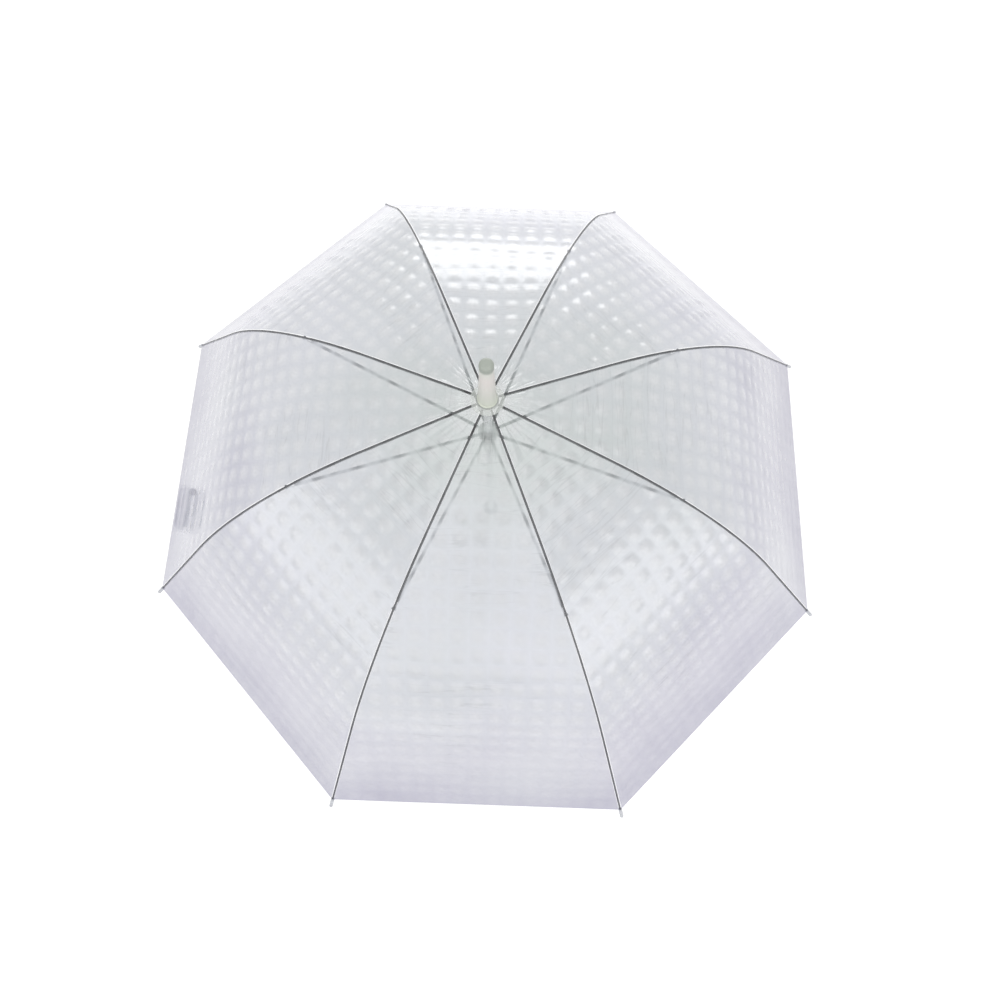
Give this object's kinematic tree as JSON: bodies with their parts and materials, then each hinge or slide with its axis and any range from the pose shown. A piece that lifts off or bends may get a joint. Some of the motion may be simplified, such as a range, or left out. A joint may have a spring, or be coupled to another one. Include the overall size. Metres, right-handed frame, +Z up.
{
  "type": "stick umbrella",
  "caption": "Open stick umbrella with a clear embossed film dome, steel ribs and stretchers, sliding runner, tapered ferrule and crook handle.",
  "frame": {"origin": "the hand's place on the shaft axis, inside the handle's straight grip", "axes": "+Z up the shaft to the ferrule; +X away from the open side of the crook handle"},
  "size_m": [0.9486, 0.9486, 0.7905],
  "materials": {
    "film": "gloss",
    "rib_steel": "satin",
    "wire_steel": "satin",
    "shaft_white": "gloss",
    "milky_plastic": "satin",
    "hub_plastic": "satin",
    "tip_plastic": "gloss"
  },
  "bodies": {
    "frame": {"shaft": "shaft_white", "stop_pin": "wire_steel", "top_catch": "wire_steel", "bottom_catch": "wire_steel", "top_notch": "hub_plastic", "notch_wire": "wire_steel", "rosette": "milky_plastic", "ferrule": "milky_plastic", "handle": "milky_plastic", "handle_collar": "hub_plastic"},
    "rib_1": {"rib_1": "rib_steel", "rib_tip_1": "tip_plastic", "rib_rivet_1": "rib_steel", "canopy_panel_1": "film"},
    "rib_2": {"rib_2": "rib_steel", "rib_tip_2": "tip_plastic", "rib_rivet_2": "rib_steel", "canopy_panel_2": "film"},
    "rib_3": {"rib_3": "rib_steel", "rib_tip_3": "tip_plastic", "rib_rivet_3": "rib_steel", "canopy_panel_3": "film"},
    "rib_4": {"rib_4": "rib_steel", "rib_tip_4": "tip_plastic", "rib_rivet_4": "rib_steel", "canopy_panel_4": "film"},
    "rib_5": {"rib_5": "rib_steel", "rib_tip_5": "tip_plastic", "rib_rivet_5": "rib_steel", "canopy_panel_5": "film"},
    "rib_6": {"rib_6": "rib_steel", "rib_tip_6": "tip_plastic", "rib_rivet_6": "rib_steel", "canopy_panel_6": "film"},
    "rib_7": {"rib_7": "rib_steel", "rib_tip_7": "tip_plastic", "rib_rivet_7": "rib_steel", "canopy_panel_7": "film", "tie_strap": "film", "strap_snap": "tip_plastic"},
    "rib_8": {"rib_8": "rib_steel", "rib_tip_8": "tip_plastic", "rib_rivet_8": "rib_steel", "canopy_panel_8": "film"},
    "stretcher_1": {"stretcher_1": "rib_steel"},
    "stretcher_2": {"stretcher_2": "rib_steel"},
    "stretcher_3": {"stretcher_3": "rib_steel"},
    "stretcher_4": {"stretcher_4": "rib_steel"},
    "stretcher_5": {"stretcher_5": "rib_steel"},
    "stretcher_6": {"stretcher_6": "rib_steel"},
    "stretcher_7": {"stretcher_7": "rib_steel"},
    "stretcher_8": {"stretcher_8": "rib_steel"},
    "runner": {"runner": "hub_plastic", "runner_wire": "wire_steel"}
  },
  "joints": [
    {"name": "rib_1_fold", "type": "hinge", "parent": "frame", "child": "rib_1", "pos_m": [-0.00364, 0.00878, 0.62], "axis": [-0.9239, -0.3827, 0], "range_deg": [0, 60], "deforming": ["canopy_panel_1", "top_catch", "bottom_catch"]},
    {"name": "rib_2_fold", "type": "hinge", "parent": "frame", "child": "rib_2", "pos_m": [0.00364, 0.00878, 0.62], "axis": [-0.9239, 0.3827, 0], "range_deg": [0, 60], "deforming": ["canopy_panel_2"]},
    {"name": "rib_3_fold", "type": "hinge", "parent": "frame", "child": "rib_3", "pos_m": [0.00878, 0.00364, 0.62], "axis": [-0.3827, 0.9239, 0], "range_deg": [0, 60], "deforming": ["canopy_panel_3"]},
    {"name": "rib_4_fold", "type": "hinge", "parent": "frame", "child": "rib_4", "pos_m": [0.00878, -0.00364, 0.62], "axis": [0.3827, 0.9239, 0], "range_deg": [0, 60], "deforming": ["canopy_panel_4"]},
    {"name": "rib_5_fold", "type": "hinge", "parent": "frame", "child": "rib_5", "pos_m": [0.00364, -0.00878, 0.62], "axis": [0.9239, 0.3827, 0], "range_deg": [0, 60], "deforming": ["canopy_panel_5"]},
    {"name": "rib_6_fold", "type": "hinge", "parent": "frame", "child": "rib_6", "pos_m": [-0.00364, -0.00878, 0.62], "axis": [0.9239, -0.3827, 0], "range_deg": [0, 60], "deforming": ["canopy_panel_6"]},
    {"name": "rib_7_fold", "type": "hinge", "parent": "frame", "child": "rib_7", "pos_m": [-0.00878, -0.00364, 0.62], "axis": [0.3827, -0.9239, 0], "range_deg": [0, 60], "deforming": ["canopy_panel_7", "tie_strap", "strap_snap"]},
    {"name": "rib_8_fold", "type": "hinge", "parent": "frame", "child": "rib_8", "pos_m": [-0.00878, 0.00364, 0.62], "axis": [-0.3827, -0.9239, 0], "range_deg": [0, 60], "deforming": ["canopy_panel_8"]},
    {"name": "stretcher_1_pivot", "type": "hinge", "parent": "rib_1", "child": "stretcher_1", "pos_m": [-0.0933, 0.22524, 0.57096], "axis": [-0.9239, -0.3827, 0], "range_deg": [-120, 0]},
    {"name": "stretcher_2_pivot", "type": "hinge", "parent": "rib_2", "child": "stretcher_2", "pos_m": [0.0933, 0.22524, 0.57096], "axis": [-0.9239, 0.3827, 0], "range_deg": [-120, 0]},
    {"name": "stretcher_3_pivot", "type": "hinge", "parent": "rib_3", "child": "stretcher_3", "pos_m": [0.22524, 0.0933, 0.57096], "axis": [-0.3827, 0.9239, 0], "range_deg": [-120, 0]},
    {"name": "stretcher_4_pivot", "type": "hinge", "parent": "rib_4", "child": "stretcher_4", "pos_m": [0.22524, -0.0933, 0.57096], "axis": [0.3827, 0.9239, 0], "range_deg": [-120, 0]},
    {"name": "stretcher_5_pivot", "type": "hinge", "parent": "rib_5", "child": "stretcher_5", "pos_m": [0.0933, -0.22524, 0.57096], "axis": [0.9239, 0.3827, 0], "range_deg": [-120, 0]},
    {"name": "stretcher_6_pivot", "type": "hinge", "parent": "rib_6", "child": "stretcher_6", "pos_m": [-0.0933, -0.22524, 0.57096], "axis": [0.9239, -0.3827, 0], "range_deg": [-120, 0]},
    {"name": "stretcher_7_pivot", "type": "hinge", "parent": "rib_7", "child": "stretcher_7", "pos_m": [-0.22524, -0.0933, 0.57096], "axis": [0.3827, -0.9239, 0], "range_deg": [-120, 0]},
    {"name": "stretcher_8_pivot", "type": "hinge", "parent": "rib_8", "child": "stretcher_8", "pos_m": [-0.22524, 0.0933, 0.57096], "axis": [-0.3827, -0.9239, 0], "range_deg": [-120, 0]},
    {"name": "runner_carry", "type": "hinge", "parent": "stretcher_1", "child": "runner", "pos_m": [-0.00364, 0.00878, 0.52192], "axis": [-0.9239, -0.3827, 0], "range_deg": [0, 60]}
  ],
  "couplings": [
    {"joint": "rib_2_fold", "follows": "rib_1_fold", "ratio": 1},
    {"joint": "rib_3_fold", "follows": "rib_1_fold", "ratio": 1},
    {"joint": "rib_4_fold", "follows": "rib_1_fold", "ratio": 1},
    {"joint": "rib_5_fold", "follows": "rib_1_fold", "ratio": 1},
    {"joint": "rib_6_fold", "follows": "rib_1_fold", "ratio": 1},
    {"joint": "rib_7_fold", "follows": "rib_1_fold", "ratio": 1},
    {"joint": "rib_8_fold", "follows": "rib_1_fold", "ratio": 1},
    {"joint": "stretcher_1_pivot", "follows": "rib_1_fold", "ratio": -2},
    {"joint": "stretcher_2_pivot", "follows": "rib_1_fold", "ratio": -2},
    {"joint": "stretcher_3_pivot", "follows": "rib_1_fold", "ratio": -2},
    {"joint": "stretcher_4_pivot", "follows": "rib_1_fold", "ratio": -2},
    {"joint": "stretcher_5_pivot", "follows": "rib_1_fold", "ratio": -2},
    {"joint": "stretcher_6_pivot", "follows": "rib_1_fold", "ratio": -2},
    {"joint": "stretcher_7_pivot", "follows": "rib_1_fold", "ratio": -2},
    {"joint": "stretcher_8_pivot", "follows": "rib_1_fold", "ratio": -2},
    {"joint": "runner_carry", "follows": "rib_1_fold", "ratio": 1}
  ]
}
